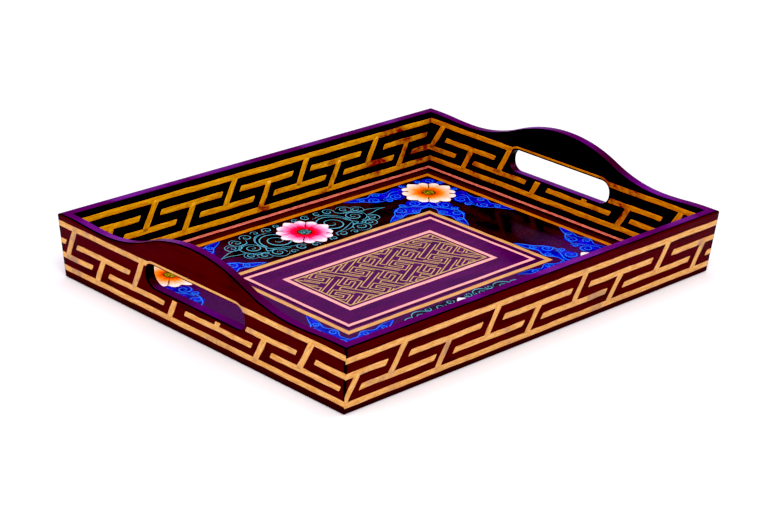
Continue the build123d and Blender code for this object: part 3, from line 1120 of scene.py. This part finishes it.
def paint_flowers():
    """Orange flowers on the corner clouds and pink ones on the side clouds."""
    corners = [(sx * CORNER_FLOWER[0], sy * CORNER_FLOWER[1]) for sx in (1, -1) for sy in (1, -1)]
    sides = [(SIDE_FLOWER[0], sy * SIDE_FLOWER[1]) for sy in (1, -1)]
    orange = petal_material("orange_petal_paint", "ea4400", "ff8c2c", "ffcc9c", "fff4f0")
    pink = petal_material("pink_petal_paint", "d80010", "ff2060", "ff8cc4", "fff2fa")
    slits = line_material("slit_paint", "5a0a10", "300408")
    olive = disc_material("olive_disc_paint", "c0a820", "4a4806", "3a2804")
    teal = disc_material("teal_disc_paint", "62a4a4", "143a48", "1c1420")
    for name, middles, petals, disc in (
        ("corner_flower", corners, orange, olive),
        ("side_flower", sides, pink, teal),
    ):
        made = [(on_floor, p) for middle in middles for p in flower_petals(middle)]
        strokes_piece(f"{name}_petals", made, petals)
        made = [(on_floor, s) for middle in middles for s in flower_slits(middle)]
        strokes_piece(f"{name}_slits", made, slits)
        disc_piece(f"{name}_discs", middles, disc)


# ---------------------------------------------------------------- floor, camera and light

# In metres, from the middle to each edge.
STUDIO_FLOOR = 6.0
STUDIO_WHITE = (0.92, 0.92, 0.92, 1)


def stage():
    """A wide pale floor under the tray."""
    mesh = bpy.data.meshes.new("studio_floor")
    corners = STUDIO_FLOOR * np.array([(-1, -1, 0), (1, -1, 0), (1, 1, 0), (-1, 1, 0)])
    mesh.from_pydata(corners, [], [(0, 1, 2, 3)])
    floor = bpy.data.objects.new("studio_floor", mesh)
    bpy.context.scene.collection.objects.link(floor)
    t = Tree("studio_floor")
    t.bsdf.inputs["Base Color"].default_value = STUDIO_WHITE
    t.bsdf.inputs["Roughness"].default_value = 0.9
    t.bsdf.inputs["Specular IOR Level"].default_value = 0.1
    mesh.materials.append(t.material)


# The camera stands CAMERA_DISTANCE metres from the origin and looks past it by CAMERA_ASIDE, to the
# right and up. Its lens and its sensor's width are in millimetres.
CAMERA_AZIMUTH = radians(-45.3)
CAMERA_RISE = radians(22.36)
CAMERA_ROLL = radians(2.4)
CAMERA_DISTANCE = 1.9365
CAMERA_ASIDE = (-0.01003, 0.01778)
CAMERA_LENS = 105.76
SENSOR_WIDTH = 36.0


def set_camera():
    """The camera looks along -back, turned by its roll, and stands a little aside from the centre line."""
    a, e, r = CAMERA_AZIMUTH, CAMERA_RISE, CAMERA_ROLL
    back = Vector((sin(a) * cos(e), -cos(a) * cos(e), sin(e)))
    level = Vector((cos(a), sin(a), 0))
    upright = back.cross(level)
    right = cos(r) * level + sin(r) * upright
    up = -sin(r) * level + cos(r) * upright
    data = bpy.data.cameras.new("camera")
    data.lens = CAMERA_LENS
    data.sensor_width = SENSOR_WIDTH
    data.clip_end = 50.0
    camera = bpy.data.objects.new("camera", data)
    place = back * CAMERA_DISTANCE + right * CAMERA_ASIDE[0] + up * CAMERA_ASIDE[1]
    turn = Matrix((right, up, back)).transposed().to_4x4()
    camera.matrix_world = Matrix.Translation(place) @ turn
    bpy.context.scene.collection.objects.link(camera)
    bpy.context.scene.camera = camera


def add_light(name, place, side, power, tint):
    """A large square soft light that faces the tray."""
    data = bpy.data.lights.new(name, "AREA")
    data.shape = "RECTANGLE"
    data.size = data.size_y = side
    data.energy = power
    data.color = tint
    lamp = bpy.data.objects.new(name, data)
    away = Vector(place)
    lamp.matrix_world = Matrix.Translation(away) @ away.to_track_quat("Z", "Y").to_matrix().to_4x4()
    bpy.context.scene.collection.objects.link(lamp)


# Each lamp's name, place, side, power in watts and tint.
LAMPS = [
    ("key", (-1.2, -1.6, 2.6), 1.8, 62.0, (1.0, 0.97, 0.93)),
    ("fill", (-2.6, 0.6, 1.6), 1.6, 22.0, (1.0, 1.0, 1.0)),
    ("side", (2.4, -1.4, 1.8), 1.6, 24.0, (1.0, 0.98, 0.95)),
    ("top", (0.3, 0.4, 3.2), 2.4, 40.0, (0.97, 0.97, 1.0)),
]
SKY = (0.86, 0.78, 1.0, 1.0)
SKY_STRENGTH = 0.5
BLACK_LEVEL = 0.024


def set_light():
    """Four soft lamps in a pale sky, shown without a film look and with the blacks pulled down."""
    scene = bpy.context.scene
    world = bpy.data.worlds.new("studio")
    world.use_nodes = True
    background = world.node_tree.nodes["Background"]
    background.inputs[0].default_value = SKY
    background.inputs[1].default_value = SKY_STRENGTH
    scene.world = world
    for lamp in LAMPS:
        add_light(*lamp)
    scene.view_settings.view_transform = "Standard"
    scene.view_settings.look = "None"
    scene.view_settings.use_curve_mapping = True
    scene.view_settings.curve_mapping.black_level = (BLACK_LEVEL,) * 3


def main():
    """Paints the tray from its boards to its flowers, then sets the studio."""
    dress_frame()
    paint_frets()
    paint_floor()
    paint_clouds()
    paint_flowers()
    stage()
    set_camera()
    set_light()


main()
